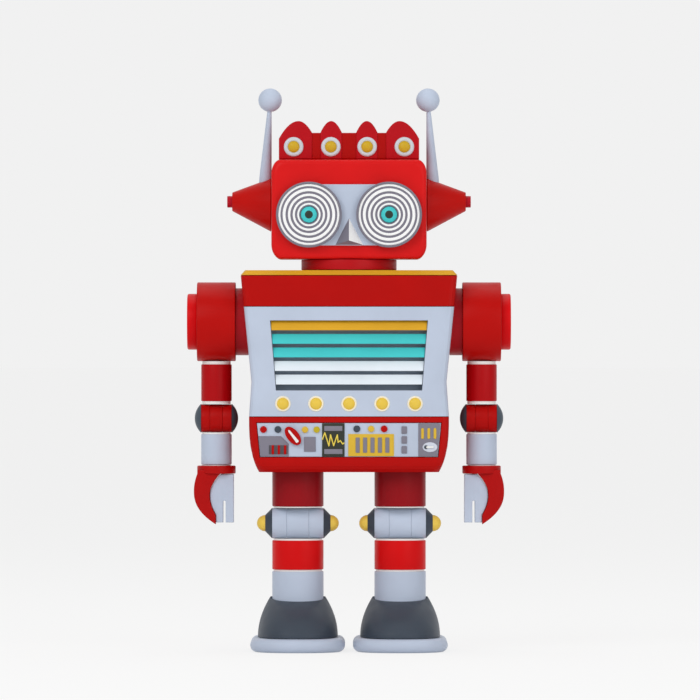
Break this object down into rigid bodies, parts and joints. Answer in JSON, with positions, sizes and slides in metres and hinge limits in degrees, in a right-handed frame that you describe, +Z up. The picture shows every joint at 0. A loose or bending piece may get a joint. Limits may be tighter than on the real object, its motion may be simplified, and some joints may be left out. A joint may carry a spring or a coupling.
{
  "type": "toy robot",
  "caption": "Standing retro tin toy robot with ringed eyes, louvred chest, control panel, turning head and hinged shoulders, elbows, wrists, hips and knees.",
  "frame": {"origin": "on the floor, midway between the soles and midway along them", "axes": "+Z up from the floor, -Y the way the robot faces, +X towards the robot's own left side"},
  "size_m": [0.1618, 0.076, 0.2813],
  "materials": {
    "body_red": "enamelled tinplate, semi-gloss",
    "bright_red": "enamelled tinplate, gloss",
    "dark_red": "enamelled tinplate, semi-gloss",
    "blue_grey": "enamelled tinplate, semi-gloss",
    "slate": "enamelled tinplate, satin",
    "gold": "enamelled tinplate, semi-gloss",
    "red_plastic": "moulded plastic, gloss",
    "crest_red": "moulded plastic, semi-gloss",
    "grey_plastic": "moulded plastic, semi-gloss",
    "slate_plastic": "moulded plastic, satin",
    "teal": "moulded plastic, gloss",
    "white": "moulded plastic, gloss",
    "amber_lens": "tinted moulded lens, gloss",
    "steel": "drawn rod"
  },
  "bodies": {
    "torso": {"torso_shell": "body_red", "top_plate": "gold", "neck": "crest_red", "chest_plate": "blue_grey", "chest_lamps": "amber_lens", "louvre_back": "slate", "slat_gold": "gold", "slats_teal": "teal", "slats_white": "white", "back_cover": "body_red", "control_panel": "blue_grey", "shoulder_axle": "steel", "hip_axle": "steel"},
    "head": {"head_shell": "bright_red", "face_plate": "blue_grey", "crest": "crest_red", "crest_lamps": "amber_lens", "eye_disc_left": "white", "eye_disc_right": "white", "eye_iris_left": "teal", "eye_iris_right": "teal", "ear_left": "red_plastic", "ear_right": "red_plastic", "antenna_left": "grey_plastic", "antenna_right": "grey_plastic"},
    "selector": {"selector_knob": "red_plastic"},
    "switch": {"power_switch": "white"},
    "arm_left": {"shoulder_drum_left": "body_red", "shoulder_cap_left": "red_plastic", "upper_arm_left": "red_plastic", "elbow_rivet_left": "slate_plastic"},
    "lower_arm_left": {"elbow_knuckle_left": "red_plastic", "forearm_left": "blue_grey"},
    "hand_left": {"hand_shell_left": "red_plastic", "hand_fingers_left": "grey_plastic"},
    "upper_leg_left": {"thigh_left": "dark_red", "knee_yoke_left": "grey_plastic", "knee_rivet_left": "slate_plastic"},
    "lower_leg_left": {"knee_knuckle_left": "grey_plastic", "shin_left": "bright_red", "ankle_left": "blue_grey", "boot_left": "slate", "sole_left": "grey_plastic"},
    "arm_right": {"shoulder_drum_right": "body_red", "shoulder_cap_right": "red_plastic", "upper_arm_right": "red_plastic", "elbow_rivet_right": "slate_plastic"},
    "lower_arm_right": {"elbow_knuckle_right": "red_plastic", "forearm_right": "blue_grey"},
    "hand_right": {"hand_shell_right": "red_plastic", "hand_fingers_right": "grey_plastic"},
    "upper_leg_right": {"thigh_right": "dark_red", "knee_yoke_right": "grey_plastic", "knee_rivet_right": "slate_plastic"},
    "lower_leg_right": {"knee_knuckle_right": "grey_plastic", "shin_right": "bright_red", "ankle_right": "blue_grey", "boot_right": "slate", "sole_right": "grey_plastic"}
  },
  "joints": [
    {"name": "neck_turn", "type": "hinge", "parent": "torso", "child": "head", "pos_m": [0, 0.008, 0.1957], "axis": [0, 0, 1], "range_deg": [-80, 80]},
    {"name": "shoulder_left", "type": "hinge", "parent": "torso", "child": "arm_left", "pos_m": [0.0664, 0.008, 0.1644], "axis": [-1, 0, 0], "range_deg": [-60, 90]},
    {"name": "elbow_left", "type": "hinge", "parent": "arm_left", "child": "lower_arm_left", "pos_m": [0.0664, 0.008, 0.11605], "axis": [-1, 0, 0], "range_deg": [0, 85]},
    {"name": "wrist_left", "type": "hinge", "parent": "lower_arm_left", "child": "hand_left", "pos_m": [0.0664, 0.008, 0.09235], "axis": [0, 0, 1], "range_deg": [-90, 90]},
    {"name": "hip_left", "type": "hinge", "parent": "torso", "child": "upper_leg_left", "pos_m": [0.0256, 0.008, 0.0969], "axis": [-1, 0, 0], "range_deg": [-25, 25]},
    {"name": "knee_left", "type": "hinge", "parent": "upper_leg_left", "child": "lower_leg_left", "pos_m": [0.0256, 0.008, 0.0635], "axis": [1, 0, 0], "range_deg": [0, 55]},
    {"name": "shoulder_right", "type": "hinge", "parent": "torso", "child": "arm_right", "pos_m": [-0.0664, 0.008, 0.1644], "axis": [-1, 0, 0], "range_deg": [-60, 90]},
    {"name": "elbow_right", "type": "hinge", "parent": "arm_right", "child": "lower_arm_right", "pos_m": [-0.0664, 0.008, 0.11605], "axis": [-1, 0, 0], "range_deg": [0, 85]},
    {"name": "wrist_right", "type": "hinge", "parent": "lower_arm_right", "child": "hand_right", "pos_m": [-0.0664, 0.008, 0.09235], "axis": [0, 0, 1], "range_deg": [-90, 90]},
    {"name": "hip_right", "type": "hinge", "parent": "torso", "child": "upper_leg_right", "pos_m": [-0.0256, 0.008, 0.0969], "axis": [-1, 0, 0], "range_deg": [-25, 25]},
    {"name": "knee_right", "type": "hinge", "parent": "upper_leg_right", "child": "lower_leg_right", "pos_m": [-0.0256, 0.008, 0.0635], "axis": [1, 0, 0], "range_deg": [0, 55]},
    {"name": "selector_turn", "type": "hinge", "parent": "torso", "child": "selector", "pos_m": [-0.028, -0.0187, 0.1083], "axis": [0, -1, 0], "range_deg": [-60, 60]},
    {"name": "switch_slide", "type": "slide", "parent": "torso", "child": "switch", "axis": [1, 0, 0], "range_m": [0, 0.0016]}
  ]
}
